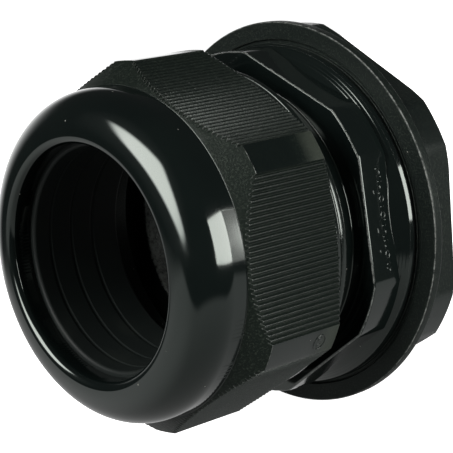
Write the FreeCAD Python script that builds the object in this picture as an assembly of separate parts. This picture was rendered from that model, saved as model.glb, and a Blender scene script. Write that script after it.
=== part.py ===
import FreeCAD, Part
import os
from math import cos, pi, radians, sin, tan

from FreeCAD import Vector

# Cable gland for an M63 x 1.5 entry, millimetres.
# The axis is Y: the cable enters the dome at -Y and leaves through the entry thread at +Y.
# The origin is on the axis, in the plane where the gasket meets the panel. +Z is up.

# ---- cable and sealing insert ----
seal_bore_radius = 22.3             # for a cable of 34 to 44 mm
seal_wall = 2.75
seal_collar_step = 0.87             # the collar stands this far outside the sleeve
seal_collar_length = 2.0
seal_collar_depth = 1.5             # collar inside the cage when the nut is backed off
seal_mouth_chamfer = 0.7

# ---- clamping cage ----
finger_count = 14
finger_thickness = 2.2
finger_length = 10.9
finger_slot = 1.8
hinge_web_radius = 0.6              # thinned round web that each finger bends about
hinge_web_depth = 0.3               # web's middle behind the finger's root
hinge_web_inset = 0.25              # web's middle inside the finger's middle
cage_flange_thickness = 2.1

# ---- dome nut ----
cap_travel = 5.0                    # backed off to tight
cap_pitch = 2.0
cone_half_angle = 18.0
cap_thread_step = 0.85              # thread crest outside the plain bore
cap_thread_chamfer = 0.8
cap_wall = 3.34                     # thread bore to the flats
cap_corner_reach = 3.65             # corner radius outside the flats
cap_hex_length = 18.3
cap_rear_drop = 1.5                 # the rear chamfer's length along the axis
skirt_length = 2.9
skirt_round = 0.7
dome_step = 0.7                     # dome inside the flats
dome_reach = 15.6                   # from the hexagon's front corners to the nose
throat_step = 1.1                   # throat outside the insert's bore
throat_round = 1.6
lip_depth = 5.0                     # nose to the inner shoulder
cap_turned = 2.6                    # degrees from the body's hexagon

# ---- gland body ----
tube_wall = 2.2
body_hex_shoulder = 2.2             # flats outside the larger thread
body_corner_reach = 2.4             # corner radius outside the flats
body_hex_length = 7.55
body_hex_chamfer = 0.5
body_neck_step = 0.7                # neck outside the flats
body_neck_length = 1.6              # between the hexagon and the collar
body_collar_step = 2.9              # collar outside the flats
body_collar_length = 1.3
body_collar_round = 0.4
neck_groove_depth = 0.8
neck_groove_length = 1.6

# ---- entry thread, gasket and locknut ----
entry_thread_radius = 31.5          # M63 crest radius
entry_pitch = 1.5
thread_valley_width = 0.75          # ring valley that ends the nut's side of the thread
thread_valley_depth = 0.92
entry_thread_chamfer = 1.1
panel_range = 5.0                   # thickest panel, and the locknut's travel
gasket_thickness = 1.0
gasket_inset = 0.6                  # gasket inside the collar
gasket_edge_round = 0.3
locknut_wall = 5.35                 # thread crest to the flats
locknut_corner_reach = 3.05
locknut_height = 10.3
locknut_flange_reach = 1.2          # flange outside the corners
locknut_flange_thickness = 2.3
locknut_flange_edge = 0.5
locknut_corner_chamfer = 1.2
locknut_groove_width = 0.9
locknut_groove_depth = 0.6
locknut_turned = 4.8                # degrees from the body's hexagon

# ---- clearances ----
thread_clearance = 0.06             # radial, between mating threads
spigot_clearance = 0.05             # radial, cage in body
spigot_end_gap = 0.05               # axial, cage in body
seat_gap = 0.05                     # axial, each side of the gasket
gasket_bore_clearance = 0.3         # radial, over the entry thread
groove_clearance = 0.4              # radial, locknut's groove outside the gasket
hinge_gap = 0.05                    # axial, hinge web to the cage ring
collar_clearance = 0.08             # radial, seal collar in the cage bore
collar_end_gap = 0.5                # axial, seal collar from the cage's rear when tight
shoulder_gap = 0.1                  # axial, seal to the nut's shoulder
closed_finger_gap = 0.33            # radial, closed fingers to the insert
finger_bore_gap = 0.55              # radial, nut's plain bore over the fingers
finger_tip_room = 1.8               # axial, nut's shoulder to the fingertips when tight
cone_start_gap = 0.8                # axial, fingertip past the cone's wide end
thread_run_out = 0.6                # axial, nut's threaded bore past the body when tight
closed_cap_gap = 0.9                # axial, skirt to body hexagon when tight
through_bore_step = 0.6             # cage bore outside the body's bore
free_thread_length = 0.9            # entry thread past the locknut on the thickest panel

# ---- radii, worked out from the bore outwards ----
finger_closing = cap_travel * tan(radians(cone_half_angle))
seal_outer_radius = seal_bore_radius + seal_wall
seal_collar_radius = seal_outer_radius + seal_collar_step
cage_bore_radius = seal_collar_radius + collar_clearance
through_bore_radius = cage_bore_radius - through_bore_step
finger_inner_radius = seal_outer_radius + closed_finger_gap + finger_closing
finger_outer_radius = finger_inner_radius + finger_thickness
cap_bore_radius = finger_outer_radius + finger_bore_gap
cap_thread_radius = cap_bore_radius + cap_thread_step
finger_middle_radius = finger_outer_radius - finger_thickness / 2
pivot_radius = finger_middle_radius - hinge_web_inset
cage_spigot_radius = cap_thread_radius - tube_wall - spigot_clearance
cap_flat_radius = cap_thread_radius + thread_clearance + cap_wall
cap_corner_radius = cap_flat_radius + cap_corner_reach
dome_radius = cap_flat_radius - dome_step
throat_radius = seal_bore_radius + throat_step
body_flat_radius = max(entry_thread_radius, cap_thread_radius) + body_hex_shoulder
body_corner_radius = body_flat_radius + body_corner_reach
body_neck_radius = body_flat_radius + body_neck_step
body_collar_radius = body_flat_radius + body_collar_step
gasket_outer_radius = body_collar_radius - gasket_inset
locknut_flat_radius = entry_thread_radius + locknut_wall
locknut_corner_radius = locknut_flat_radius + locknut_corner_reach
locknut_flange_radius = locknut_corner_radius + locknut_flange_reach

# ---- places along the axis, worked out from the panel forwards ----
seat_y = -gasket_thickness - seat_gap
locknut_front_y = seat_gap
locknut_rear_y = locknut_front_y + locknut_height
entry_end_y = locknut_rear_y + panel_range + free_thread_length
collar_front_y = seat_y - body_collar_length
hex_rear_y = collar_front_y - body_neck_length
hex_front_y = hex_rear_y - body_hex_length
skirt_rear_y = hex_front_y - closed_cap_gap - cap_travel
cap_hex_rear_y = skirt_rear_y - skirt_length - cap_rear_drop
cap_hex_front_y = cap_hex_rear_y - cap_hex_length
nose_y = cap_hex_front_y - dome_reach
shoulder_y = nose_y + lip_depth
finger_tip_y = shoulder_y + cap_travel + finger_tip_room
finger_root_y = finger_tip_y + finger_length
pivot_y = finger_root_y + hinge_web_depth
cage_front_y = pivot_y + hinge_web_radius + hinge_gap
tube_front_y = cage_front_y + cage_flange_thickness
cone_start_y = finger_tip_y + cone_start_gap
cap_thread_front_y = tube_front_y - cap_travel - thread_run_out
seal_front_y = shoulder_y + shoulder_gap
seal_rear_y = cage_front_y + seal_collar_depth + seal_collar_length
spigot_end_y = seal_rear_y + cap_travel + collar_end_gap

AXIS = Vector(0, 1, 0)
ORIGIN = Vector(0, 0, 0)
OVERRUN = 5.0                       # cutting tools run past the faces they cut


def outline(start, *steps):
    """Closed wire in the XY plane. A step is a point (r, y), or a pair (middle, end) for an arc."""
    edges = []
    here = Vector(start[0], start[1], 0)
    first = here
    for step in steps:
        if isinstance(step[0], tuple):
            middle = Vector(step[0][0], step[0][1], 0)
            there = Vector(step[1][0], step[1][1], 0)
            edges.append(Part.Arc(here, middle, there).toShape())
        else:
            there = Vector(step[0], step[1], 0)
            edges.append(Part.LineSegment(here, there).toShape())
        here = there
    edges.append(Part.LineSegment(here, first).toShape())
    return Part.Wire(edges)


def turned(start, *steps):
    """Solid of revolution about the Y axis."""
    return Part.Face(outline(start, *steps)).revolve(ORIGIN, AXIS, 360)


def drum(radius, low_y, high_y):
    """Plain cylinder on the axis."""
    return Part.makeCylinder(radius, high_y - low_y, Vector(0, low_y, 0), AXIS)


def hex_prism(flat_radius, low_y, high_y, turn):
    """Hexagonal prism on the axis, with a flat facing +X before it is turned about +Y."""
    corner = flat_radius / cos(pi / 6)
    angles = [radians(turn + 60 * k) for k in range(7)]
    points = [Vector(corner * sin(a), low_y, corner * cos(a)) for a in angles]
    return Part.Face(Part.makePolygon(points)).extrude(AXIS * (high_y - low_y))


def quarter(centre, radius, angle):
    """Point at an angle in degrees on an arc about (r, y)."""
    a = radians(angle)
    return (centre[0] + radius * cos(a), centre[1] + radius * sin(a))


def gland_body():
    """Hexagon with a collar, the dome nut's thread in front and the entry thread behind."""
    envelope = turned(
        (0, hex_front_y),
        (body_corner_radius - body_hex_chamfer, hex_front_y),
        (body_corner_radius, hex_front_y + body_hex_chamfer),
        (body_corner_radius, hex_rear_y),
        (0, hex_rear_y),
    )
    hexagon = hex_prism(body_flat_radius, hex_front_y, hex_rear_y, 0).common(envelope)
    round_y = collar_front_y + body_collar_round
    round_centre = (body_collar_radius - body_collar_round, round_y)
    collar = turned(
        (0, hex_rear_y),
        (body_neck_radius, hex_rear_y),
        (body_neck_radius, collar_front_y),
        (body_collar_radius - body_collar_round, collar_front_y),
        (quarter(round_centre, body_collar_round, -45), (body_collar_radius, round_y)),
        (body_collar_radius, seat_y),
        (0, seat_y),
    )
    groove_end_y = hex_front_y - neck_groove_length
    tube = turned(
        (0, tube_front_y),
        (cap_thread_radius - cap_thread_chamfer, tube_front_y),
        (cap_thread_radius, tube_front_y + cap_thread_chamfer),
        (cap_thread_radius, groove_end_y),
        (cap_thread_radius - neck_groove_depth, groove_end_y + neck_groove_depth),
        (cap_thread_radius - neck_groove_depth, hex_front_y),
        (0, hex_front_y),
    )
    valley_radius = entry_thread_radius - thread_valley_depth
    valley_front_y = locknut_rear_y - thread_valley_width
    entry = turned(
        (0, seat_y),
        (entry_thread_radius, seat_y),
        (entry_thread_radius, valley_front_y),
        (valley_radius, valley_front_y),
        (valley_radius, locknut_rear_y),
        (entry_thread_radius, locknut_rear_y),
        (entry_thread_radius, entry_end_y - entry_thread_chamfer),
        (entry_thread_radius - entry_thread_chamfer, entry_end_y),
        (0, entry_end_y),
    )
    solid = hexagon.fuse([collar, tube, entry]).removeSplitter()
    solid = solid.cut(drum(through_bore_radius, tube_front_y - OVERRUN, entry_end_y + OVERRUN))
    counterbore_end_y = spigot_end_y + spigot_end_gap
    return solid.cut(drum(cage_spigot_radius + spigot_clearance, tube_front_y - OVERRUN, counterbore_end_y))


def dome_nut():
    """Hexagon nut with a rounded dome, a clamping cone and a plain bore at thread size."""
    cone_out = cap_corner_radius - dome_radius
    dome_round = dome_radius - throat_radius - throat_round
    round_centre = (throat_radius + throat_round, nose_y + dome_round)
    body = hex_prism(cap_flat_radius, nose_y, skirt_rear_y, cap_turned)
    body = body.common(turned(
        (0, cap_hex_front_y - cone_out),
        (dome_radius, cap_hex_front_y - cone_out),
        (cap_corner_radius, cap_hex_front_y),
        (cap_corner_radius, cap_hex_rear_y),
        (cap_flat_radius, cap_hex_rear_y + cap_rear_drop),
        (0, cap_hex_rear_y + cap_rear_drop),
    ))
    skirt = turned(
        (0, cap_hex_rear_y),
        (cap_flat_radius, cap_hex_rear_y),
        (cap_flat_radius, skirt_rear_y - skirt_round),
        (quarter((cap_flat_radius - skirt_round, skirt_rear_y - skirt_round), skirt_round, 45),
         (cap_flat_radius - skirt_round, skirt_rear_y)),
        (0, skirt_rear_y),
    )
    dome = turned(
        (0, nose_y),
        (round_centre[0], nose_y),
        (quarter(round_centre, dome_round, -45), (dome_radius, round_centre[1])),
        (dome_radius, cap_hex_front_y),
        (0, cap_hex_front_y),
    )
    return body.fuse([skirt, dome]).removeSplitter().cut(cap_cavity())


def cap_cavity():
    """Everything hollow inside the dome nut: throat, clamping cone, plain bore, threaded bore."""
    thread_radius = cap_thread_radius + thread_clearance
    cone_small_radius = cap_bore_radius - (cone_start_y - shoulder_y) * tan(radians(cone_half_angle))
    lip_centre = (throat_radius + throat_round, nose_y + throat_round)
    return turned(
        (0, nose_y - OVERRUN),
        (throat_radius + throat_round, nose_y - OVERRUN),
        (throat_radius + throat_round, nose_y),
        (quarter(lip_centre, throat_round, 225), (throat_radius, lip_centre[1])),
        (throat_radius, shoulder_y),
        (cone_small_radius, shoulder_y),
        (cap_bore_radius, cone_start_y),
        (cap_bore_radius, cap_thread_front_y),
        (thread_radius, cap_thread_front_y),
        (thread_radius, skirt_rear_y - cap_thread_chamfer),
        (thread_radius + cap_thread_chamfer, skirt_rear_y),
        (thread_radius + cap_thread_chamfer, skirt_rear_y + OVERRUN),
        (0, skirt_rear_y + OVERRUN),
    )


def cage_ring():
    """Ring that carries the clamping fingers: a flange on the body's tube and a spigot inside it."""
    return turned(
        (cage_bore_radius, cage_front_y),
        (finger_outer_radius, cage_front_y),
        (finger_outer_radius, tube_front_y),
        (cage_spigot_radius, tube_front_y),
        (cage_spigot_radius, spigot_end_y),
        (cage_bore_radius, spigot_end_y),
    )


def clamping_finger(number):
    """One finger of the cage: a curved tongue with a bevelled tip and a thinned web at its root."""
    bevel = finger_thickness / 2
    bevel_length = bevel / 2 / tan(radians(cone_half_angle))
    sleeve = turned(
        (finger_inner_radius, finger_tip_y),
        (finger_outer_radius - bevel / 2, finger_tip_y),
        (finger_outer_radius, finger_tip_y + bevel_length),
        (finger_outer_radius, finger_root_y),
        (finger_inner_radius, finger_root_y),
    )
    pitch = 360 / finger_count
    half_width = radians(pitch) * finger_middle_radius / 2 - finger_slot / 2
    slab = Part.makeBox(2 * half_width, finger_length, finger_outer_radius + OVERRUN,
                        Vector(-half_width, finger_tip_y, 0))
    web = Part.makeCylinder(hinge_web_radius, 2 * half_width,
                            Vector(-half_width, pivot_y, pivot_radius), Vector(1, 0, 0))
    finger = sleeve.common(slab).fuse(web)
    finger.rotate(ORIGIN, AXIS, number * pitch)
    return finger


def sealing_insert():
    """Rubber sleeve that grips the cable, with a collar that slides in the cage."""
    return turned(
        (seal_bore_radius, seal_front_y + seal_mouth_chamfer),
        (seal_bore_radius + seal_mouth_chamfer, seal_front_y),
        (seal_outer_radius, seal_front_y),
        (seal_outer_radius, seal_rear_y - seal_collar_length),
        (seal_collar_radius, seal_rear_y - seal_collar_length),
        (seal_collar_radius, seal_rear_y),
        (seal_bore_radius + seal_mouth_chamfer, seal_rear_y),
        (seal_bore_radius, seal_rear_y - seal_mouth_chamfer),
    )


def gasket():
    """Flat sealing washer between the body's collar and the panel."""
    inner = entry_thread_radius + gasket_bore_clearance
    edge = gasket_outer_radius - gasket_edge_round
    front = (edge, -gasket_thickness + gasket_edge_round)
    rear = (edge, -gasket_edge_round)
    return turned(
        (inner, -gasket_thickness),
        (edge, -gasket_thickness),
        (quarter(front, gasket_edge_round, -45), (gasket_outer_radius, front[1])),
        (gasket_outer_radius, rear[1]),
        (quarter(rear, gasket_edge_round, 45), (edge, 0)),
        (inner, 0),
    )


def locknut():
    """Hexagon locknut with a round flange against the panel."""
    front_y = locknut_front_y
    rear_y = locknut_rear_y
    flange_y = front_y + locknut_flange_thickness
    bore = entry_thread_radius + thread_clearance
    hexagon = hex_prism(locknut_flat_radius, front_y, rear_y, locknut_turned)
    hexagon = hexagon.common(turned(
        (0, front_y),
        (locknut_corner_radius, front_y),
        (locknut_corner_radius, rear_y - locknut_corner_chamfer / 2),
        (locknut_corner_radius - locknut_corner_chamfer, rear_y),
        (0, rear_y),
    ))
    flange = turned(
        (0, front_y),
        (locknut_flange_radius - locknut_flange_edge, front_y),
        (locknut_flange_radius, front_y + locknut_flange_edge),
        (locknut_flange_radius, flange_y - locknut_flange_edge),
        (locknut_flange_radius - locknut_flange_edge, flange_y),
        (0, flange_y),
    )
    groove_inner = gasket_outer_radius + groove_clearance
    groove = turned(
        (groove_inner, front_y - OVERRUN),
        (groove_inner + locknut_groove_width, front_y - OVERRUN),
        (groove_inner + locknut_groove_width, front_y + locknut_groove_depth),
        (groove_inner, front_y + locknut_groove_depth),
    )
    hole = turned(
        (0, front_y - OVERRUN),
        (bore + entry_thread_chamfer, front_y - OVERRUN),
        (bore + entry_thread_chamfer, front_y),
        (bore, front_y + entry_thread_chamfer),
        (bore, rear_y - entry_thread_chamfer),
        (bore + entry_thread_chamfer, rear_y),
        (bore + entry_thread_chamfer, rear_y + OVERRUN),
        (0, rear_y + OVERRUN),
    )
    return hexagon.fuse(flange).removeSplitter().cut([groove, hole])


def main():
    os.makedirs("parts", exist_ok=True)
    nodes = {
        "gland_body": gland_body(),
        "dome_nut": dome_nut(),
        "cage_ring": cage_ring(),
        "sealing_insert": sealing_insert(),
        "gasket": gasket(),
        "locknut": locknut(),
    }
    for number in range(finger_count):
        nodes[f"clamping_finger_{number + 1:02d}"] = clamping_finger(number)
    for name, shape in nodes.items():
        if shape.ShapeType == "Compound" and len(shape.Solids) == 1:
            shape = shape.Solids[0]
        shape.exportStep(f"parts/{name}.step")
        box = shape.BoundBox
        print(f"{name}: volume {shape.Volume:.0f} mm3, y {box.YMin:.2f} to {box.YMax:.2f}")
    close_angle = finger_closing / (pivot_y - finger_tip_y) * 180 / pi
    print(f"finger pivot: radius {pivot_radius:.3f}, y {pivot_y:.3f}, closes {close_angle:.2f} degrees")
    print(f"dome nut turns {cap_travel / cap_pitch * 360:.0f} degrees")
    print(f"locknut turns {panel_range / entry_pitch * 360:.0f} degrees")


main()
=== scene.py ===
from math import asin, cos, pi, radians, sin, sqrt

import bpy
import numpy as np
from mathutils import Matrix, Vector


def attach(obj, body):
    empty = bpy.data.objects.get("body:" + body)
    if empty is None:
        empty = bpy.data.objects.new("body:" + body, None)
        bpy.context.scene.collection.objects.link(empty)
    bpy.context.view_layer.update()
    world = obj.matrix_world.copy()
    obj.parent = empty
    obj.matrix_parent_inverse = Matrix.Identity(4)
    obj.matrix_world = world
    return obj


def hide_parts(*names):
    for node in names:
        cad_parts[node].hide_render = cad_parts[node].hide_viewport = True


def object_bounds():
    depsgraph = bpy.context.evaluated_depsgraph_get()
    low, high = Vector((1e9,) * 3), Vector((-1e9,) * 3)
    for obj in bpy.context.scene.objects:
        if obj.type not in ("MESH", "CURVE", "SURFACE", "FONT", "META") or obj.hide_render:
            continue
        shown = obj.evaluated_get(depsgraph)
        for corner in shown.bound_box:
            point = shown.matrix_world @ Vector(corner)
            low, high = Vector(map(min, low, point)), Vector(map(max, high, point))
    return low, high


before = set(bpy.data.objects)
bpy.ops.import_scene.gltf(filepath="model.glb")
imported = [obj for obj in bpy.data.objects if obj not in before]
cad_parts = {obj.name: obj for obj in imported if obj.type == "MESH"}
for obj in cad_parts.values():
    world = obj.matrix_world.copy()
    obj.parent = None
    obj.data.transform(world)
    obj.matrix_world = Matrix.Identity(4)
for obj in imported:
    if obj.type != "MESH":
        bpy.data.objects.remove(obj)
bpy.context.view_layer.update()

mm = 0.001
# The pieces' lengths are in millimetres. The cable's axis is Y, and an angle about it runs from +Z towards +X.


# Shader maths: a Wire is a node's output, and an expression on wires and numbers adds Math nodes.
class Wire:
    def __init__(self, tree, socket):
        self.tree = tree
        self.socket = socket

    def maths(self, operation, *values):
        made = self.tree.nodes.new("ShaderNodeMath")
        made.operation = operation
        for place, value in zip(made.inputs, values):
            if isinstance(value, Wire):
                self.tree.links.new(value.socket, place)
            else:
                place.default_value = value
        return Wire(self.tree, made.outputs[0])

    def __add__(self, other): return self.maths("ADD", self, other)
    def __radd__(self, other): return self.maths("ADD", other, self)
    def __sub__(self, other): return self.maths("SUBTRACT", self, other)
    def __rsub__(self, other): return self.maths("SUBTRACT", other, self)
    def __mul__(self, other): return self.maths("MULTIPLY", self, other)
    def __rmul__(self, other): return self.maths("MULTIPLY", other, self)
    def __gt__(self, other): return self.maths("GREATER_THAN", self, other)


# One node tree being wired.
class Nodes:
    def __init__(self, tree):
        self.tree = tree
        tree.nodes.clear()

    # Settings are set first; inputs are values or wires. The answer is the node's output called out.
    def add(self, kind, settings=None, inputs=None, out=0):
        made = self.tree.nodes.new(kind)
        for key, value in (settings or {}).items():
            setattr(made, key, value)
        for key, value in (inputs or {}).items():
            if isinstance(value, Wire):
                self.tree.links.new(value.socket, made.inputs[key])
            else:
                made.inputs[key].default_value = value
        return Wire(self.tree, made.outputs[out]) if made.outputs else made

    # 0 at low, 1 at high, smooth between and flat beyond.
    def ease(self, value, low, high):
        return self.add("ShaderNodeMapRange", {"interpolation_type": "SMOOTHSTEP"},
                        {"Value": value, "From Min": low, "From Max": high})

    def noise(self, place, size, detail=2.0, rough=0.5):
        return self.add("ShaderNodeTexNoise", None,
                        {"Vector": place, "Scale": 1 / (size * mm), "Detail": detail, "Roughness": rough})

    def attribute(self, name):
        return self.add("ShaderNodeAttribute", {"attribute_name": name}, out="Fac")

    # A bump from a height in metres.
    def bump(self, height):
        return self.add("ShaderNodeBump", None, {"Height": height, "Distance": 1.0, "Strength": 1.0})

    def stretch(self, place, amounts):
        return self.add("ShaderNodeMapping", {"vector_type": "POINT"}, {"Vector": place, "Scale": amounts})

    def blend(self, factor, colourA, colourB):
        return self.add("ShaderNodeMix", {"data_type": "RGBA"},
                        {0: factor, 6: colourA, 7: colourB}, out=2)


# One corner of a profile: its radius and y, which may differ from column to column, the radius of its
# rounding and the steps that it takes, and the finish and the dust mark from there on to the next corner; the
# dust mark also carries a painted sheen.
def corner(radius, y, bend=0.0, steps=0, satin=0.0, dustAndSheen=0.0):
    return (radius, y, bend, steps, satin, dustAndSheen)


# A profile carried round the axis. Each corner becomes an exact arc of its own radius: a rational quadratic
# curve from one tangent point to the other, whose middle weight is the sine of half the corner's inside
# angle. Where the arcs of two neighbours would overlap, both are squeezed. A point at radius r and angle a
# is (r sin a, y, r cos a). An outward arc is marked as an edge, which takes wear and a painted glint, and an
# inward one collects dust; a corner's own dust mark also carries a painted sheen where one is given.
def roundedRing(corners, angles):
    count = len(angles)
    nearlyOne = 0.9999
    tightest = 0.95              # a rounding wider than this is a shape, not an edge that wears and takes a painted glint
    spread = lambda value: np.broadcast_to(np.asarray(value, float), count)
    points = np.array([[spread(c[0]), spread(c[1])] for c in corners])
    satins = np.array([spread(c[4]) for c in corners])
    dustAndSheens = np.array([spread(c[5]) for c in corners])
    bends = np.array([c[2] for c in corners])[:, None]
    into = points - np.roll(points, 1, 0)
    length = np.linalg.norm(into, axis=1) + 1e-9
    into = into / length[:, None]
    away = np.roll(into, -1, 0)
    inside = np.arccos(np.clip(-(into * away).sum(1), -nearlyOne, nearlyOne))
    bulge = np.sign(into[:, 0] * away[:, 1] - into[:, 1] * away[:, 0])
    reach = bends / np.tan(inside / 2)
    edge = np.roll(length, -1, 0)
    squeeze = np.minimum(1, 0.999 * edge / (reach + np.roll(reach, -1, 0) + 1e-9))
    reach = reach * np.minimum(squeeze, np.roll(squeeze, 1, 0))
    following = np.roll(points, -1, 0)
    area = (points[:, 0] * following[:, 1] - following[:, 0] * points[:, 1]).sum()
    rows = []
    marks = []
    for i, (_, _, _, steps, _, _) in enumerate(corners):
        for t in np.linspace(0, 1, steps + 1) if steps else [0.5]:
            weights = ((1 - t) ** 2, 2 * t * (1 - t) * np.sin(inside[i] / 2), t * t)
            start = points[i] - into[i] * reach[i]
            end = points[i] + away[i] * reach[i]
            total = sum(weights)
            place = (weights[0] * start + weights[1] * points[i] + weights[2] * end) / total
            rows.append(place if steps else points[i])
            middle = 4 * t * (1 - t)
            turning = bulge[i] * np.sign(area) * middle
            marks.append([satins[i - 1] * (1 - t) + satins[i] * t,
                          np.maximum(turning, 0) * (bends[i] < tightest),
                          np.maximum(dustAndSheens[i - 1] * (1 - t) + dustAndSheens[i] * t, -0.8 * turning)])
    rows = np.array(rows)
    marks = np.array(marks)
    vertices = np.stack([rows[:, 0] * np.sin(angles), rows[:, 1], rows[:, 0] * np.cos(angles)], -1)
    return {"vertices": vertices.reshape(-1, 3),
            "faces": gridFaces(len(rows), count, True, True),
            "marks": marks.transpose(0, 2, 1).reshape(-1, 3)}


# Quads between neighbours on a grid numbered row by row. Either way may close on itself.
def gridFaces(rows, columns, closeRows, closeColumns):
    firstRows, firstColumns = rows - (not closeRows), columns - (not closeColumns)
    i, j = np.meshgrid(np.arange(firstRows), np.arange(firstColumns), indexing="ij")
    up = (i + 1) % rows
    along = (j + 1) % columns
    quads = np.stack([i * columns + j, i * columns + along, up * columns + along, up * columns + j], -1)
    return quads.reshape(-1, 4)


# Columns of a hexagon with rounded corners. Along a flat a column stands at x, so its angle is atan(x / flat)
# and its radius flat / cos(angle); round a corner the radius is the corner's. A rib's valley takes its depth
# off the flat. The answer is each column's angle, radius and valley depth, and 1 for one on a corner.
def hexColumns(flat, cornerRadius, turn, flatSteps=12, cornerSteps=6, ribs=None):
    half = sqrt(cornerRadius ** 2 - flat ** 2)
    if ribs:
        middles = (np.arange(ribs["count"] + 1) - ribs["count"] / 2) * ribs["pitch"]
        floor, shoulder = ribs["floor"], ribs["shoulder"]
        across = np.array([-shoulder, -floor, floor, shoulder, ribs["pitch"] / 2])
        x = (middles[:, None] + across).ravel()[:-1]
        depth = np.tile([ribs["crown"], 1, 1, ribs["crown"], 0], len(middles))[:-1] * ribs["depth"]
        x = np.concatenate([[-half], x, [half]])
        depth = np.concatenate([[0], depth, [0]])
    else:
        x = np.linspace(-half, half, flatSteps + 1)
        depth = np.zeros(len(x))
    last = asin(half / cornerRadius)
    bend = np.linspace(last, pi / 3 - last, cornerSteps + 1)[1:-1]
    local = np.concatenate([np.arctan(x / flat), bend])
    depth = np.concatenate([depth, np.zeros(len(bend))])
    patch = np.concatenate([np.zeros(len(x)), np.ones(len(bend))])
    patch[[0, len(x) - 1]] = 1
    radius = np.where(patch == 1, cornerRadius, (flat - depth) / np.cos(local))
    angles = (local + np.arange(6)[:, None] * pi / 3 + pi / 2 + radians(turn)).ravel()
    return angles, np.tile(radius, 6), np.tile(depth, 6), np.tile(patch, 6)


# A thread's ridge: a trapezium with rounded shoulders carried along a right-handed helix, y rising one pitch
# a turn. Its height ramps from nothing over the first and last part of a turn, so both ends sink into the
# wall.
def threadRidge(thread, perTurn=96, shoulder=0.86, sunkBy=0.15, least=0.02):
    turns = (thread["high"] - thread["low"]) / thread["pitch"]
    steps = int(turns * perTurn)
    s = np.linspace(0, turns, steps + 1)
    angles = (s * 2 * pi + radians(thread["start"]))[:, None]
    ramp = np.clip(np.minimum(s, turns - s) / thread["runOut"], 0, 1)
    ramp = (ramp * ramp * (3 - 2 * ramp))[:, None]
    wide, top = thread["base"] / 2, thread["crest"] / 2
    widen, narrow = 0.06, 0.04
    lift = np.array([0, shoulder, 1, 1, shoulder, 0])
    side = np.array([-wide, -top - widen, -top + narrow, top - narrow, top + widen, wide])
    sunk = thread["root"] + np.sign(thread["root"] - thread["tip"]) * sunkBy
    radius = sunk + (thread["tip"] - sunk) * (lift * (least + (1 - least) * ramp))
    y = thread["low"] + s[:, None] * thread["pitch"] + side
    vertices = np.stack([radius * np.sin(angles), y, radius * np.cos(angles)], -1).reshape(-1, 3)
    ends = np.array([[0, 1, 2, 5], [2, 3, 4, 5]])
    last = ends + steps * 6
    faces = np.concatenate([gridFaces(steps + 1, 6, False, True), ends[:, ::-1], last])
    tips = np.broadcast_to(lift, radius.shape).ravel()
    marks = np.stack([np.full(len(tips), thread["satin"]), 0.5 * tips * (tips > 0.9), 0.7 * (1 - tips)], -1)
    return {"vertices": vertices, "faces": faces, "marks": marks}


# Points given across, along and out of a plane that touches the part at an angle and a radius.
def onPlane(angle, radius, y, local):
    turned = radians(angle)
    sideways, outward = [cos(turned), 0, -sin(turned)], [sin(turned), 0, cos(turned)]
    return np.array(outward) * radius + np.array([0, y, 0]) + local.reshape(-1, 3) @ np.array(
        [sideways, [0, 1, 0], outward])


# A low raised button: an ellipsoid whose cosines and sines are raised to powers under one, which flattens
# its sides, given its middle and its three half sizes across, along and out of the surface.
def pebble(angle, radius, y, middle, halves, satin=0.0, rows=7, columns=16):
    steepness, squareness = 0.6, 0.8
    up = np.linspace(-pi / 2, pi / 2, rows + 2)[1:-1, None]
    around = (np.arange(columns) * 2 * pi / columns)[None]
    power = lambda v, n: np.sign(v) * np.abs(v) ** n
    a = halves[0] * np.cos(up) ** steepness * power(np.cos(around), squareness)
    b = halves[1] * np.cos(up) ** steepness * power(np.sin(around), squareness)
    c = halves[2] * np.sin(up) + 0 * around
    local = np.concatenate([np.stack([a, b, c], -1).reshape(-1, 3), [[0, 0, -halves[2]], [0, 0, halves[2]]]])
    vertices = onPlane(angle, radius, y, local + [middle[0], middle[1], 0])
    quads = gridFaces(rows, columns, False, True)
    j = np.arange(columns)
    along = (j + 1) % columns
    last = (rows - 1) * columns
    bottom = np.stack([along, j, np.full(columns, rows * columns)], -1)
    top = np.stack([j + last, along + last, np.full(columns, rows * columns + 1)], -1)
    marks = np.tile([satin, 0.5, 0], (len(vertices), 1))
    return {"vertices": vertices, "faces": quads, "fans": np.concatenate([bottom, top]), "marks": marks}


# A small oval ring standing on the surface: a circle of radius thick carried round an ellipse.
def ovalRing(angle, radius, y, middle, halves, thick, satin=0.0, steps=32, around=8):
    t = (np.arange(steps) * 2 * pi / steps)[:, None]
    s = (np.arange(around) * 2 * pi / around)[None]
    a = middle[0] + (halves[0] + thick * np.cos(s)) * np.cos(t)
    b = middle[1] + (halves[1] + thick * np.cos(s)) * np.sin(t)
    c = thick * np.sin(s) + 0 * t
    vertices = onPlane(angle, radius, y, np.stack([a, b, c], -1))
    marks = np.tile([satin, 0.5, 0], (len(vertices), 1))
    return {"vertices": vertices, "faces": gridFaces(steps, around, True, True), "marks": marks}


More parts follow.
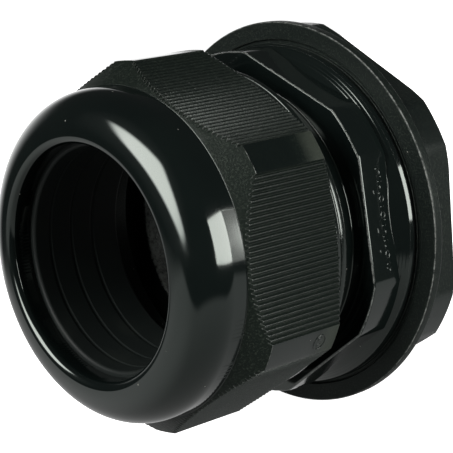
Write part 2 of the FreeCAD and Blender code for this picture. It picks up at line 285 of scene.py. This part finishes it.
# Shells go into one mesh, each turned right side out by the sign of its volume. The piece rides on its body
# in place of the plain parts named, and the modifier keeps wide faces flat beside narrow roundings.
def makePiece(name, shells, material, body, replaced):
    vertices, faces, marks = [], [], []
    count = 0
    for shell in shells:
        v = shell["vertices"]
        groups = [shell["faces"]] + ([shell["fans"]] if "fans" in shell else [])
        volume = 0
        for f in groups:
            for k in range(1, f.shape[1] - 1):
                volume += np.einsum("ij,ij->i", v[f[:, 0]], np.cross(v[f[:, k]], v[f[:, k + 1]])).sum()
        for f in groups:
            faces += ((f if volume > 0 else f[:, ::-1]) + count).tolist()
        vertices.append(v)
        marks.append(shell["marks"])
        count += len(v)
    mesh = bpy.data.meshes.new(name)
    mesh.from_pydata((np.concatenate(vertices) * mm).tolist(), [], faces)
    marks = np.concatenate(marks)
    for column, key in enumerate(["satin", "edge", "dustAndSheen"]):
        values = marks[:, column].astype(np.float32)
        mesh.attributes.new(key, "FLOAT", "POINT").data.foreach_set("value", values)
    mesh.materials.append(material)
    mesh.shade_smooth()
    piece = bpy.data.objects.new(name, mesh)
    bpy.context.scene.collection.objects.link(piece)
    piece.modifiers.new("evenShading", "WEIGHTED_NORMAL").weight = 60
    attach(piece, body)
    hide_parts(*replaced)
    print(f"{name}: {len(mesh.vertices)} points, {len(mesh.polygons)} faces")


# Moulded polyamide. The mesh says where the mould was polished (satin 0) or fine-textured (satin 1), where
# an edge stands out and catches wear and a painted glint, and where dust settles or a lighter sheen is
# painted.
def polyamide(look):
    material = bpy.data.materials.new(look["name"])
    material.use_nodes = True
    n = Nodes(material.node_tree)
    place = n.add("ShaderNodeTexCoord", out="Object")
    satin = n.attribute("satin")
    edge = n.attribute("edge")
    dustAndSheen = n.attribute("dustAndSheen")
    if "satin" in look:
        satin = satin + look["satin"]
    cloud = n.noise(place, look["cloudSize"], 4, 0.55)
    grain = n.noise(place, look["grainSize"], 2, 0.6)
    sparkle = n.ease(grain, *look["sparkleBand"])
    peel = n.noise(place, look["peelSize"], 1, 0.4)
    streaks = n.noise(n.stretch(place, (1, look["streakStretch"], 1)), look["streakSize"], 3, 0.6)
    smudge = n.ease(n.noise(place, look["smudgeSize"], 5, 0.65), 0.5, 0.75)
    # Specks of dust: the middles of a few cells of a cell pattern.
    spacing = {"Vector": place, "Scale": 1 / (look["speckSpacing"] * mm)}
    cells = n.add("ShaderNodeTexVoronoi", None, spacing)
    cellColour = n.add("ShaderNodeTexVoronoi", None, spacing, out="Color")
    chosen = n.add("ShaderNodeSeparateColor", None, {"Color": cellColour}) > look["speckRarity"]
    speck = n.ease(cells, *look["speckEdge"]) * chosen
    patchy = 0.35 + n.noise(place, look["wearSize"], 4, 0.75)
    # Outward edges are painted lighter in patches: wear, and a painted glint; the wear also nicks them.
    wearAndGlint = n.ease(edge * patchy, 0.6, 0.95)
    # The dust mark lightens the colour: real dust in hollows and at thread roots, and a painted sheen on the
    # dome nut's corner patches.
    settledAndSheen = n.ease(dustAndSheen + (cloud - 0.5) * 0.8, 0.5, 1.3)
    base = n.blend(satin, look["polished"], look["textured"])
    base = n.blend(sparkle * satin * look["sparkle"], base, look["sparkling"])
    base = n.blend(n.ease(cloud, 0.35, 0.75) * look["cloud"], base, look["clouded"])
    base = n.blend(wearAndGlint * look["wearAndGlint"], base, look["wornAndGlint"])
    base = n.blend(settledAndSheen * look["dustAndSheen"], base, look["dustAndSheenColour"])
    base = n.blend(speck * look["speck"], base, look["speckColour"])
    smooth = look["gloss"] + smudge * look["smudge"] + streaks * look["streak"]
    rough = look["matte"] + (grain - 0.5) * 0.25 + (cloud - 0.5) * 0.15
    height = peel * (1 - satin) * (look["peelDepth"] * mm) + grain * satin * (look["grainDepth"] * mm)
    height = height + speck * (look["speckHeight"] * mm) + streaks * (look["streakDepth"] * mm)
    normal = n.bump(height - wearAndGlint * (look["wearDepth"] * mm))
    gloss = n.add("ShaderNodeBsdfPrincipled", None, {
        "Base Color": base, "Roughness": smooth + speck * 0.4 + wearAndGlint * 0.1, "Normal": normal,
        "IOR": look["ior"], "Specular Tint": look["tint"]})
    soft = n.add("ShaderNodeBsdfPrincipled", None, {
        "Base Color": base, "Roughness": rough + settledAndSheen * 0.15, "Normal": normal,
        "IOR": look["ior"], "Specular Tint": look["tint"], "Specular IOR Level": look["satinShine"]})
    share = n.ease(satin + (cloud - 0.5) * 0.1, 0, 1)
    mixed = n.add("ShaderNodeMixShader", None, {0: share, 1: gloss, 2: soft})
    n.add("ShaderNodeOutputMaterial", None, {"Surface": mixed})
    return material


# Moulded rubber: matte, with a faint bloom.
def rubber(look):
    material = bpy.data.materials.new(look["name"])
    material.use_nodes = True
    n = Nodes(material.node_tree)
    place = n.add("ShaderNodeTexCoord", out="Object")
    edge = n.attribute("edge")
    dustAndSheen = n.attribute("dustAndSheen")
    cloud = n.noise(place, look["cloudSize"], 4, 0.6)
    grain = n.noise(place, look["grainSize"], 3, 0.6)
    rings = n.noise(n.stretch(place, (1, look["ringStretch"], 1)), look["ringSize"], 2, 0.5)
    bloom = n.ease(cloud + dustAndSheen * 0.3, 0.45, 0.9)
    base = n.blend(bloom * look["bloom"], look["colour"], look["bloomColour"])
    base = n.blend(edge * 0.3, base, look["edgeColour"])
    roughness = look["rough"] + (cloud - 0.5) * 0.2 + (grain - 0.5) * 0.15 - edge * 0.06
    normal = n.bump(grain * (look["grainDepth"] * mm) + rings * (look["ringDepth"] * mm))
    shader = n.add("ShaderNodeBsdfPrincipled", None, {
        "Base Color": base, "Roughness": roughness, "Normal": normal, "IOR": look["ior"],
        "Specular IOR Level": look["shine"]})
    n.add("ShaderNodeOutputMaterial", None, {"Surface": shader})
    return material


# Sizes, spacings, heights and depths are in millimetres; colours are linear.
blackNylon = {
    "name": "blackNylon",
    "polished": (0.0022, 0.0036, 0.0034, 1),
    "textured": (0.0042, 0.0064, 0.0050, 1),
    "tint": (0.90, 1.00, 0.93, 1),
    "ior": 1.53,
    "gloss": 0.07,               # roughness where polished
    "matte": 0.40,               # roughness where textured
    "satinShine": 0.09,
    "cloudSize": 14, "cloud": 0.35, "clouded": (0.0036, 0.0056, 0.0048, 1),
    "grainSize": 0.38, "grainDepth": 0.06,
    "sparkleBand": (0.5, 0.7), "sparkle": 0.6, "sparkling": (0.0220, 0.0285, 0.0220, 1),
    "peelSize": 5, "peelDepth": 0.004,
    "streakSize": 16, "streakStretch": 24, "streak": 0.03, "streakDepth": 0.001,
    "smudgeSize": 9, "smudge": 0.06,
    # Edges: a pale worn colour that is also a painted glint.
    "wearSize": 1.1, "wearAndGlint": 0.7, "wearDepth": 0.03, "wornAndGlint": (0.15, 0.16, 0.15, 1),
    # Lighter where dust settles, and a painted sheen where the corner patches are marked.
    "dustAndSheen": 0.3, "dustAndSheenColour": (0.048, 0.056, 0.044, 1),
    "speckSpacing": 1.9, "speckRarity": 0.975, "speckEdge": (0.09, 0.05), "speckHeight": 0.02,
    "speck": 0.8, "speckColour": (0.18, 0.18, 0.16, 1),
}
locknutNylon = dict(blackNylon, name="locknutNylon", textured=(0.0044, 0.0062, 0.0056, 1),
                    matte=0.46, gloss=0.24, satinShine=0.07)
cageNylon = dict(blackNylon, name="cageNylon", satin=0.8, textured=(0.0060, 0.0085, 0.0080, 1))
sealRubber = {
    "name": "sealRubber",
    "colour": (0.0052, 0.0074, 0.0068, 1),
    "bloom": 0.4, "bloomColour": (0.0150, 0.0190, 0.0150, 1),
    "edgeColour": (0.0100, 0.0120, 0.0110, 1),
    "rough": 0.6,
    "shine": 0.15,
    "ior": 1.5,
    "cloudSize": 8,
    "grainSize": 0.35, "grainDepth": 0.012,
    "ringSize": 10, "ringStretch": 16, "ringDepth": 0.006,
}
gasketRubber = dict(sealRubber, name="gasketRubber", rough=0.36, shine=0.3,
                    colour=(0.0020, 0.0030, 0.0030, 1), bloomColour=(0.0060, 0.0075, 0.0065, 1))
nylon = polyamide(blackNylon)
nutNylon = polyamide(locknutNylon)
innerNylon = polyamide(cageNylon)
print("materials ready")


capShape = {
    "turn": 2.6,                 # degrees from the body's hexagon
    "flat": 34.0,
    "corner": 37.64,
    "ribs": {"count": 31, "pitch": 1.02, "depth": 0.5, "shoulder": 0.33, "floor": 0.12, "crown": 0.12},
    "nose": -55.69,
    "shoulder": -50.7,
    "throat": 23.4,
    "lip": 1.6,                  # rounding of the throat's edge
    "dome": 33.3,                # dome's radius where it meets the chamfer
    "ledge": 0.2,                # between the dome and the chamfer
    "domeBend": 8.3,
    "hexFront": -40.1,           # at the corners; the flats begin further forward
    "hexRear": -21.8,
    "rearSlope": 0.41,
    "patchFrom": 0.58,           # where the painted sheen begins on a corner's patch, and where it is full, as parts of the hexagon's length
    "patchTo": 0.76,             # as parts of the hexagon's length
    "skirt": 33.65,
    "skirtRear": -17.4,
    "skirtRise": 1.5,            # from the hexagon's rear end to the skirt
    "skirtGroove": ((2.05, 0), (1.95, 0.22), (1.65, 0.22), (1.55, 0)),   # distance from the end, and depth
    "mouth": 31.46,
    "mouthDepth": 0.8,
    "chamber": 29.75,            # plain bore from the thread's end to the clamping cone
    "chamberRear": -35.55,
    "chamberFront": -43.1,
    "coneEnd": 27.28,
    "mark": {"angle": 120, "along": -26.6, "halves": (1.7, 1.5), "thick": 0.12, "sunk": 0.02,
             "dotHalves": (0.38, 0.62, 0.11), "dots": (-0.7, 0.7), "satin": 0.3},
    "thread": {"root": 30.66, "tip": 29.9, "pitch": 2.0, "base": 1.3, "crest": 0.5, "low": -33.9,
               "high": -18.6, "start": 180, "runOut": 0.5, "satin": 0.5},
}


# The dome nut's profile runs from the throat over the nose, down the dome and the chamfer, along the ribbed
# hexagon to the skirt, and back through the threaded bore and the clamping cone.
def domeNut(shape):
    angles, radius, depth, patch = hexColumns(shape["flat"], shape["corner"], shape["turn"], cornerSteps=8,
                                              ribs=shape["ribs"])
    thread, mark = shape["thread"], shape["mark"]
    valley = depth / shape["ribs"]["depth"]
    front = shape["hexFront"] - (shape["corner"] - radius)
    rear = shape["hexRear"] + (shape["corner"] - radius) * shape["rearSlope"]
    ribbed = 0.45 + 0.55 * valley * (1 - patch) - 0.35 * patch
    patchStart = front + shape["patchFrom"] * (rear - front)
    patchEnd = front + shape["patchTo"] * (rear - front)
    patchRear = ribbed + (0.85 - ribbed) * patch
    # Painted sheen: the rear of each corner patch is painted lighter, where it reflects more light.
    patchSheen = 1.5 * patch
    coneFoot = shape["hexFront"] - (shape["corner"] - shape["dome"] - shape["ledge"])
    skirtFront = shape["hexRear"] + shape["skirtRise"]
    groove = [corner(shape["skirt"] - drop, shape["skirtRear"] - back, 0.12, 2, 0.25)
              for back, drop in shape["skirtGroove"]]
    shell = roundedRing([
        corner(shape["throat"], shape["shoulder"], 0.2, 2),
        corner(shape["throat"], shape["nose"], shape["lip"], 7),
        corner(shape["dome"], shape["nose"], shape["domeBend"], 26),
        corner(shape["dome"], coneFoot - 0.02, 0.06, 1, 0.5),
        corner(shape["dome"] + shape["ledge"], coneFoot, 0.1, 2, 1.0),
        corner(radius, front, 0.3, 3, ribbed),
        corner(radius, patchStart, 0, 0, ribbed),
        corner(radius, patchEnd, 0, 0, patchRear, patchSheen),
        corner(radius, rear, 0.4, 3, 0.1),
        corner(shape["skirt"] + 0.02, skirtFront + 0.04, 0.15, 2, 0.25),
        *groove,
        corner(shape["skirt"], shape["skirtRear"], 0.6, 5, 0.3),
        corner(shape["mouth"], shape["skirtRear"], 0.15, 2, 0.5),
        corner(thread["root"], shape["skirtRear"] - shape["mouthDepth"], 0, 0, 0.5),
        corner(thread["root"], shape["chamberRear"], 0, 0, 0.5),
        corner(shape["chamber"], shape["chamberRear"], 0, 0, 0.5),
        corner(shape["chamber"], shape["chamberFront"], 0, 0, 0.5),
        corner(shape["coneEnd"], shape["shoulder"], 0, 0, 0.3),
    ], angles)
    place = (mark["angle"] + shape["turn"], shape["corner"] - mark["sunk"], mark["along"])
    ring = ovalRing(*place, (0, 0), mark["halves"], mark["thick"], mark["satin"])
    dots = [pebble(*place, (across, 0), mark["dotHalves"], mark["satin"]) for across in mark["dots"]]
    return [shell, threadRidge(thread), ring, *dots]


makePiece("dome_nut_shell", domeNut(capShape), nylon, "cap", ["dome_nut"])


bodyShape = {
    "flat": 33.7,
    "corner": 36.1,
    "hexFront": -11.5,
    "flatEnd": -4.6,             # in the middle of a flat; the corners run on further
    "endSlope": 2.4,
    "neck": 34.4,
    "collar": 36.58,             # at the seat; its rim widens towards it
    "rimSlope": 0.3,
    "rimFront": -1.95,
    "coneSlope": 1.06,           # the collar's front face, length for each millimetre of radius
    "ringLines": (34.75, 35.2, 35.7),
    "seat": -1.05,
    "tube": 29.72,
    "tubeFront": -29.95,
    "socket": 28.4,              # the cage sits here
    "socketEnd": -18.0,
    "bore": 25.4,
    "entryRoot": 30.62,
    "entryEnd": 16.25,
    "capThread": {"root": 29.72, "tip": 30.58, "pitch": 2.0, "base": 1.3, "crest": 0.5, "low": -28.9,
                  "high": -13.6, "start": 0, "runOut": 0.5, "satin": 0.15},
    "entryThread": {"root": 30.62, "tip": 31.48, "pitch": 1.5, "base": 1.05, "crest": 0.4, "low": 0.4,
                    "high": 15.3, "start": 0, "runOut": 0.4, "satin": 0.35},
}


# The gland body's profile runs along the tube, up the hexagon's front face, over the hexagon, through the
# groove to the collar, down the seat, along the entry thread's core and back through the bore.
def glandBody(shape):
    angles, radius, _, _ = hexColumns(shape["flat"], shape["corner"], 0, flatSteps=20, cornerSteps=8)
    # The collar's front face is a cone. It starts on the flats where they lie lower than the neck, and at
    # the neck elsewhere.
    rimFoot = shape["collar"] - shape["rimSlope"]
    cone = lambda r: shape["rimFront"] - (rimFoot - r) * shape["coneSlope"]
    footRadius = np.minimum(radius, shape["neck"])
    foot = cone(footRadius)
    flatEnd = np.minimum(shape["flatEnd"] + (radius - shape["flat"]) / shape["endSlope"], foot - 0.03)
    # A ring line is a step in the cone's face, this high in all and this wide.
    step, width = 0.05, 0.12
    lines = []
    for line in shape["ringLines"]:
        lines += [corner(line, cone(line) + step / 2, 0.02, 1, 0.05),
                  corner(line + width, cone(line + width) - step / 2, 0.02, 1, 0.05)]
    shell = roundedRing([
        corner(shape["socket"], shape["tubeFront"], 0.2, 2, 0.4),
        corner(shape["tube"], shape["tubeFront"], 0.5, 3, 0.1),
        corner(shape["tube"], shape["hexFront"], 0.35, 3, 0.0),
        corner(radius, shape["hexFront"], 0.45, 4, 0.05),
        corner(radius, flatEnd, 0.1, 2, 0.05),
        corner(footRadius + 0.01, foot, 0.05, 1, 0.05),
        *lines,
        corner(rimFoot, shape["rimFront"], 0.08, 3, 0.05),
        corner(shape["collar"], shape["seat"], 0.12, 2, 0.05),
        corner(shape["entryRoot"], shape["seat"], 0.1, 1, 0.35),
        corner(shape["entryRoot"], shape["entryEnd"] - 0.4, 0.3, 2, 0.3),
        corner(shape["entryRoot"] - 0.5, shape["entryEnd"], 0.2, 2, 0.3),
        corner(shape["bore"], shape["entryEnd"], 0.5, 3, 0.2),
        corner(shape["bore"], shape["socketEnd"], 0, 0, 0.2),
        corner(shape["socket"], shape["socketEnd"], 0, 0, 0.35),
    ], angles)
    return [shell, threadRidge(shape["capThread"]), threadRidge(shape["entryThread"]), *bodyMarks(shape)]


# Plain raised rings, dots and bars on the flat that faces +X: each one's middle, across and along the flat,
# and its half sizes.
def bodyMarks(shape):
    facingX, sunk, along = 90, 0.03, -6.6
    place = (facingX, shape["flat"] - sunk, along)
    rings = [((-0.9, 0), (0.62, 0.55)), ((-4.1, 0.1), (0.62, 0.55)), ((7.0, 0), (0.7, 0.5))]
    bars = [((-10.2, -0.2), (0.16, 0.8)), ((-9.3, 0.3), (0.55, 0.15)), ((-7.6, 0), (0.15, 0.7)),
            ((-6.4, 0.1), (0.5, 0.16)), ((-2.6, 0), (0.15, 0.65)), ((1.2, -0.1), (0.15, 0.7)),
            ((2.6, 0.2), (0.55, 0.15)), ((4.2, 0), (0.16, 0.75)), ((5.4, -0.3), (0.45, 0.14)),
            ((8.9, 0), (0.15, 0.7)), ((10.3, 0.2), (0.5, 0.15)), ((-5.6, -1.9), (0.6, 0.13)),
            ((2.2, -1.9), (0.9, 0.13)), ((6.2, -1.9), (0.5, 0.13))]
    dots = [((-8.5, 0.5), 0.22), ((-5.3, -0.4), 0.24), ((0.1, 0.45), 0.2), ((3.4, -0.5), 0.22),
            ((9.7, -0.5), 0.2)]
    made = [ovalRing(*place, middle, halves, 0.13, 0.05) for middle, halves in rings]
    made += [pebble(*place, middle, (*halves, 0.15), 0.05, rows=5, columns=12) for middle, halves in bars]
    made += [pebble(*place, middle, (half, half, 0.17), 0.05, rows=5, columns=12) for middle, half in dots]
    return made


makePiece("gland_body_shell", glandBody(bodyShape), nylon, "gland", ["gland_body"])


locknutShape = {
    "turn": 4.8,
    "flat": 36.85,
    "corner": 39.9,
    "flange": 41.08,
    "front": 0.06,
    "flangeRear": 2.35,
    "rear": 10.34,
    "chamfer": 1.2,
    "boreChamfer": 1.1,
    "groove": (36.4, 36.5, 37.2, 37.35),     # where its walls start and end
    "grooveDepth": 0.55,
    "thread": {"root": 31.56, "tip": 30.8, "pitch": 1.5, "base": 1.0, "crest": 0.36, "low": 1.9, "high": 9.1,
               "start": 180, "runOut": 0.5, "satin": 0.6},
}


# The locknut's profile runs across the flange's face with its ring groove, round the flange, up the
# hexagon to the rear face, and back through the bore.
def lockingNut(shape):
    angles, radius, _, patch = hexColumns(shape["flat"], shape["corner"], shape["turn"], flatSteps=20,
                                          cornerSteps=8)
    taper = shape["corner"] - shape["chamfer"]
    rearEdge = shape["rear"] - np.maximum(radius - taper, 0) / 2
    textured = 0.9 - 0.5 * patch
    bore, boreChamfer = shape["thread"]["root"], shape["boreChamfer"]
    grooveStart, floorStart, floorEnd, grooveEnd = shape["groove"]
    grooveFloor = shape["front"] + shape["grooveDepth"]
    shell = roundedRing([
        corner(bore + boreChamfer, shape["front"], 0.1, 1, 0.9),
        corner(grooveStart, shape["front"], 0.12, 2, 0.9),
        corner(floorStart, grooveFloor, 0.1, 1, 0.9),
        corner(floorEnd, grooveFloor, 0.1, 1, 0.9),
        corner(grooveEnd, shape["front"], 0.15, 2, 0.9),
        corner(shape["flange"], shape["front"], 0.45, 4, 0.8),
        corner(shape["flange"], shape["flangeRear"], 0.45, 4, 0.8),
        corner(radius, shape["flangeRear"], 0.35, 3, textured),
        corner(radius, rearEdge - 0.02, 0.3, 3, 0.7),
        corner(np.minimum(radius, taper) - 0.1, shape["rear"], 0.1, 2, 0.9),
        corner(bore + boreChamfer, shape["rear"], 0.1, 2, 0.7),
        corner(bore, shape["rear"] - boreChamfer, 0, 0, 0.6),
        corner(bore, shape["front"] + boreChamfer, 0, 0, 0.6),
    ], angles)
    return [shell, threadRidge(shape["thread"])]


makePiece("locknut_shell", lockingNut(locknutShape), nutNylon, "nut", ["locknut"])


gasketShape = {"bore": 31.8, "outer": 36.0, "front": -1.0, "rear": 0.0, "edge": 0.3, "columns": 144}


# The gasket is a flat ring with rounded outer edges.
def gasketRing(shape):
    angles = np.arange(shape["columns"]) * 2 * pi / shape["columns"]
    return [roundedRing([
        corner(shape["bore"], shape["front"], 0.1, 2),
        corner(shape["outer"], shape["front"], shape["edge"], 5),
        corner(shape["outer"], shape["rear"], shape["edge"], 5),
        corner(shape["bore"], shape["rear"], 0.1, 2),
    ], angles)]


makePiece("gasket_ring", gasketRing(gasketShape), rubber(gasketRubber), "washer", ["gasket"])


sealShape = {
    "bore": 22.3,
    "outer": 25.05,
    "collar": 25.9,
    "collarLength": 2.0,
    "front": -50.6,
    "rear": -28.55,
    "columns": 160,
    "grooves": (-46.5, -41.0, -35.5),
    "grooveDepth": 0.16,
    "grooveWidth": 1.0,
    "grooveSlope": 0.25,
}


# The sealing sleeve: a plain outside with a collar at the rear, and ring grooves in the bore that grip the
# cable.
def sealSleeve(shape):
    angles = np.arange(shape["columns"]) * 2 * pi / shape["columns"]
    bore, groove = shape["bore"], shape["bore"] + shape["grooveDepth"]
    half = shape["grooveWidth"] / 2
    floorHalf = half - shape["grooveSlope"]
    collarFront = shape["rear"] - shape["collarLength"]
    grooves = []
    for y in reversed(shape["grooves"]):
        grooves += [corner(bore, y + half, 0.2, 2), corner(groove, y + floorHalf, 0.2, 2),
                    corner(groove, y - floorHalf, 0.2, 2), corner(bore, y - half, 0.2, 2)]
    return [roundedRing([
        corner(bore, shape["front"], 0.7, 4),
        corner(shape["outer"], shape["front"], 0.4, 3),
        corner(shape["outer"], collarFront, 0.2, 2),
        corner(shape["collar"], collarFront, 0.2, 2),
        corner(shape["collar"], shape["rear"], 0.3, 2),
        corner(bore, shape["rear"], 0.7, 4),
        *grooves,
    ], angles)]


makePiece("sealing_sleeve", sealSleeve(sealShape), rubber(sealRubber), "seal", ["sealing_insert"])

# The cage and its clamping fingers keep their own shapes.
for name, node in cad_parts.items():
    if name.startswith("clamping_finger") or name == "cage_ring":
        node.data.materials.clear()
        node.data.materials.append(innerNylon)
print("pieces ready")


# Studio. A direction is an azimuth from -Y towards +X and an elevation, in degrees; distances are in metres.
def towards(azimuth, elevation, distance=1.0):
    a, e = radians(azimuth), radians(elevation)
    return Vector((sin(a) * cos(e), -cos(a) * cos(e), sin(e))) * distance


studio = {
    "floorDrop": 0.0002,         # below the object's lowest point
    "floorFront": 0.085,         # the floor's edge nearest the camera, from the axis
    "floorReach": 3.0,           # its other edges
    "keyCorners": ((-37, 44), (19, 43), (17, 4), (7, 0), (-27, 23)),
    "keyMiddle": (-4, 29),       # the key is brightest here
    "keyRadiance": 13.2,
    "keyFade": 0.06,
    "lampColour": (1.0, 0.97, 0.96),
    "softboxes": [               # azimuth, elevation and distance of each one's lower and upper end
        {"name": "sideBox", "low": (106.5, -10, 0.3), "high": (106.5, 20.5, 0.3), "width": 0.255,
         "radiance": 13.2},
        {"name": "sideWing", "low": (133.5, -10, 0.3), "high": (133.5, 19, 0.3), "width": 0.032,
         "radiance": 2},
    ],
    "softboxesFrom": (33, -45, 0),     # measured from here, in millimetres
    "background": 1.05,
    "wallGlow": 1.5,             # white wall behind the object, up to a little above the horizon
    "wallMiddle": (-124, 0),
    "groundGlow": 0.36,          # white paper under it
    "farGlow": 0.2,              # what the paper's far parts add
    "farMiddle": (-35, -15),
    "roomGlow": 0.035,
    "spillGlow": 0.12,           # what spills round the key
    "spillMiddle": (-8, 30),
    "darkSide": (68, 0),         # where the paper ends early and the dark room begins
    "darkLift": 0.34,            # how much lower the paper ends there
    "paperEdge": 0.15,           # how far below the horizon it ends elsewhere
}
cameraView = {"azimuth": 47.84, "elevation": 7.26, "roll": -7.58, "target": (-8.7, -9.8, -1.0),
              "distance": 367.1, "lens": 136.3, "sensor": 36}


# A softbox is a rectangle from its low end to its high end, turned to face the point it is measured from.
def softbox(box):
    low, high = towards(*box["low"]), towards(*box["high"])
    middle = (low + high) / 2
    origin = Vector(studio["softboxesFrom"]) * mm
    tall = (high - low).normalized()
    back = (middle - tall * middle.dot(tall)).normalized()
    side = tall.cross(back)
    light = bpy.data.lights.new(box["name"], "AREA")
    light.shape = "RECTANGLE"
    light.size = box["width"]
    light.size_y = (high - low).length
    light.color = studio["lampColour"]
    light.energy = box["radiance"] * pi * light.size * light.size_y
    lamp = bpy.data.objects.new(box["name"], light)
    lamp.matrix_world = Matrix.Translation(origin + middle) @ Matrix((side, tall, back)).transposed().to_4x4()
    lamp.visible_camera = False
    bpy.context.scene.collection.objects.link(lamp)


# A pale sheet that only the camera sees: the object is lit by the paper in the room's glow.
def makeFloor():
    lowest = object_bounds()[0].z
    material = bpy.data.materials.new("paleFloor")
    material.use_nodes = True
    n = Nodes(material.node_tree)
    place = n.add("ShaderNodeTexCoord", out="Object")
    paper = n.noise(place, 3, 3)
    shader = n.add("ShaderNodeBsdfPrincipled", None, {
        "Base Color": n.blend(paper, (0.86, 0.86, 0.86, 1), (0.9, 0.9, 0.9, 1)), "Roughness": 0.9,
        "Emission Color": (1, 1, 1, 1), "Emission Strength": 1.0})
    n.add("ShaderNodeOutputMaterial", None, {"Surface": shader})
    a = radians(cameraView["azimuth"])
    front = Vector((sin(a), -cos(a), 0)) * studio["floorFront"]
    back = -front.normalized() * studio["floorReach"]
    side = Vector((cos(a), sin(a), 0)) * studio["floorReach"]
    z = Vector((0, 0, lowest - studio["floorDrop"]))
    corners = [front - side + z, front + side + z, back + side + z, back - side + z]
    mesh = bpy.data.meshes.new("floor")
    mesh.from_pydata([tuple(c) for c in corners], [], [(0, 1, 2, 3)])
    mesh.materials.append(material)
    floor = bpy.data.objects.new("floor", mesh)
    bpy.context.scene.collection.objects.link(floor)
    floor.visible_diffuse = False
    floor.visible_glossy = False


# The white backdrop glows behind the object, the paper glows under it, the key is a softbox above the front,
# and the rest of the room is dark; the background that the camera sees is plain white.
def makeWorld():
    world = bpy.data.worlds.new("studioRoom")
    bpy.context.scene.world = world
    world.use_nodes = True
    n = Nodes(world.node_tree)
    place = n.add("ShaderNodeTexCoord", out="Generated")
    seen = n.add("ShaderNodeLightPath", out="Is Camera Ray")
    facing = lambda direction: n.add("ShaderNodeVectorMath", {"operation": "DOT_PRODUCT"},
                                     {0: place, 1: tuple(direction)}, out="Value")
    height = n.add("ShaderNodeSeparateXYZ", None, {"Vector": place}, out="Z")
    dark = n.ease(facing(towards(*studio["darkSide"])), 0.2, 0.7)
    above = height + studio["paperEdge"] + dark * studio["darkLift"]
    ground = n.ease(above, 0.05, -0.05)
    far = n.ease(height, -0.95, -0.4) + n.ease(facing(towards(*studio["farMiddle"])), 0.6, 0.95)
    wall = n.ease(facing(towards(*studio["wallMiddle"])), 0.6, 0.95) * n.ease(height, 0.55, 0.2)
    spill = n.ease(facing(towards(*studio["spillMiddle"])), 0.7, 0.95) * studio["spillGlow"]
    # The key softbox: each side of it is a plane through the eye, and it fades across that plane.
    key = n.ease(facing(towards(*studio["keyMiddle"])), 0.84, 0.98) * 0.4 + 0.6
    corners = [towards(*c) for c in studio["keyCorners"]]
    for one, other in zip(corners, corners[1:] + corners[:1]):
        key = key * n.ease(facing(other.cross(one).normalized()), -studio["keyFade"], studio["keyFade"])
    glow = studio["roomGlow"] + spill + wall * studio["wallGlow"] * (1 - ground) + key * studio["keyRadiance"]
    glow = glow + ground * (studio["groundGlow"] + far * studio["farGlow"])
    strength = seen * studio["background"] + (1 - seen) * glow
    colour = n.blend(key, (1, 1, 1, 1), (*studio["lampColour"], 1))
    shader = n.add("ShaderNodeBackground", None, {"Color": colour, "Strength": strength})
    n.add("ShaderNodeOutputWorld", None, {"Surface": shader})


# The camera stands back from its target and rolls about its own axis.
def makeCamera(view):
    camera = bpy.data.cameras.new("camera")
    camera.lens = view["lens"]
    camera.sensor_width = view["sensor"]
    camera.clip_start = 0.01
    camera.dof.use_dof = False
    back = towards(view["azimuth"], view["elevation"])
    side = Vector((0, 0, 1)).cross(back).normalized()
    turn = Matrix((side, back.cross(side), back)).transposed().to_4x4()
    holder = bpy.data.objects.new("camera", camera)
    holder.matrix_world = (Matrix.Translation(Vector(view["target"]) * mm + back * view["distance"] * mm)
                           @ turn @ Matrix.Rotation(radians(view["roll"]), 4, "Z"))
    bpy.context.scene.collection.objects.link(holder)
    bpy.context.scene.camera = holder


for box in studio["softboxes"]:
    softbox(box)
makeFloor()
makeWorld()
makeCamera(cameraView)
bpy.context.scene.view_settings.view_transform = "Standard"
print("studio ready")
